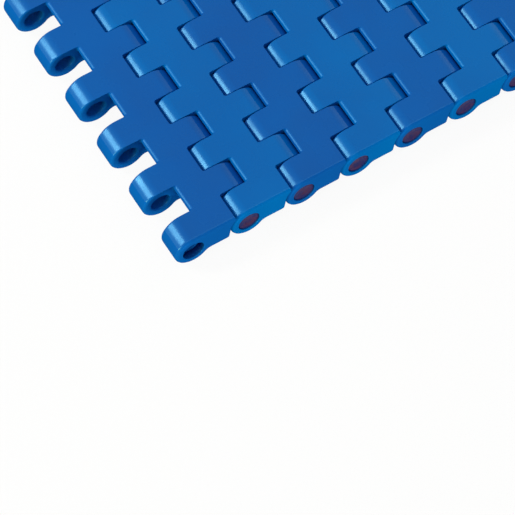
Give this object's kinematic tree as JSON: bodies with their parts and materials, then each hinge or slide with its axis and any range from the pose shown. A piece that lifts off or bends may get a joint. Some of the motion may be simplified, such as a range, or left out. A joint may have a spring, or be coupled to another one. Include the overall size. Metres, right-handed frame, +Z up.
{
  "type": "plastic conveyor chain",
  "caption": "Flat-top plastic conveyor chain section: moulded full-width rows with interlocking round hinge eyes, joined by plastic rods that plugs hold in at both edges.",
  "frame": {"origin": "under the middle of the section, on the plane that the hinge eyes rest on", "axes": "+X along the chain from the open leading end to the trailing end, +Y across the chain, +Z up through the carrying face"},
  "size_m": [0.1938, 0.1394, 0.0159],
  "materials": {
    "module_plastic": "blue moulded plastic, satin, fine mould texture",
    "rod_plastic": "red-brown extruded plastic, satin",
    "plug_plastic": "dark red-brown moulded plastic, satin"
  },
  "bodies": {
    "row_1": {"chain_module_1": "module_plastic"},
    "row_2": {"chain_module_2": "module_plastic", "hinge_rod_1": "rod_plastic", "near_rod_plug_1": "plug_plastic", "far_rod_plug_1": "plug_plastic"},
    "row_3": {"chain_module_3": "module_plastic", "hinge_rod_2": "rod_plastic", "near_rod_plug_2": "plug_plastic", "far_rod_plug_2": "plug_plastic"},
    "row_4": {"chain_module_4": "module_plastic", "hinge_rod_3": "rod_plastic", "near_rod_plug_3": "plug_plastic", "far_rod_plug_3": "plug_plastic"},
    "row_5": {"chain_module_5": "module_plastic", "hinge_rod_4": "rod_plastic", "near_rod_plug_4": "plug_plastic", "far_rod_plug_4": "plug_plastic"},
    "row_6": {"chain_module_6": "module_plastic", "hinge_rod_5": "rod_plastic", "near_rod_plug_5": "plug_plastic", "far_rod_plug_5": "plug_plastic"},
    "row_7": {"chain_module_7": "module_plastic", "hinge_rod_6": "rod_plastic", "near_rod_plug_6": "plug_plastic", "far_rod_plug_6": "plug_plastic"}
  },
  "joints": [
    {"name": "hinge_1", "type": "hinge", "parent": "row_2", "child": "row_1", "pos_m": [-0.0635, 0, 0.00795], "axis": [0, -1, 0], "range_deg": [-30, 45]},
    {"name": "hinge_2", "type": "hinge", "parent": "row_3", "child": "row_2", "pos_m": [-0.0381, 0, 0.00795], "axis": [0, -1, 0], "range_deg": [-30, 45]},
    {"name": "hinge_3", "type": "hinge", "parent": "row_4", "child": "row_3", "pos_m": [-0.0127, 0, 0.00795], "axis": [0, -1, 0], "range_deg": [-30, 45]},
    {"name": "hinge_4", "type": "hinge", "parent": "row_4", "child": "row_5", "pos_m": [0.0127, 0, 0.00795], "axis": [0, 1, 0], "range_deg": [-30, 45]},
    {"name": "hinge_5", "type": "hinge", "parent": "row_5", "child": "row_6", "pos_m": [0.0381, 0, 0.00795], "axis": [0, 1, 0], "range_deg": [-30, 45]},
    {"name": "hinge_6", "type": "hinge", "parent": "row_6", "child": "row_7", "pos_m": [0.0635, 0, 0.00795], "axis": [0, 1, 0], "range_deg": [-30, 45]}
  ]
}
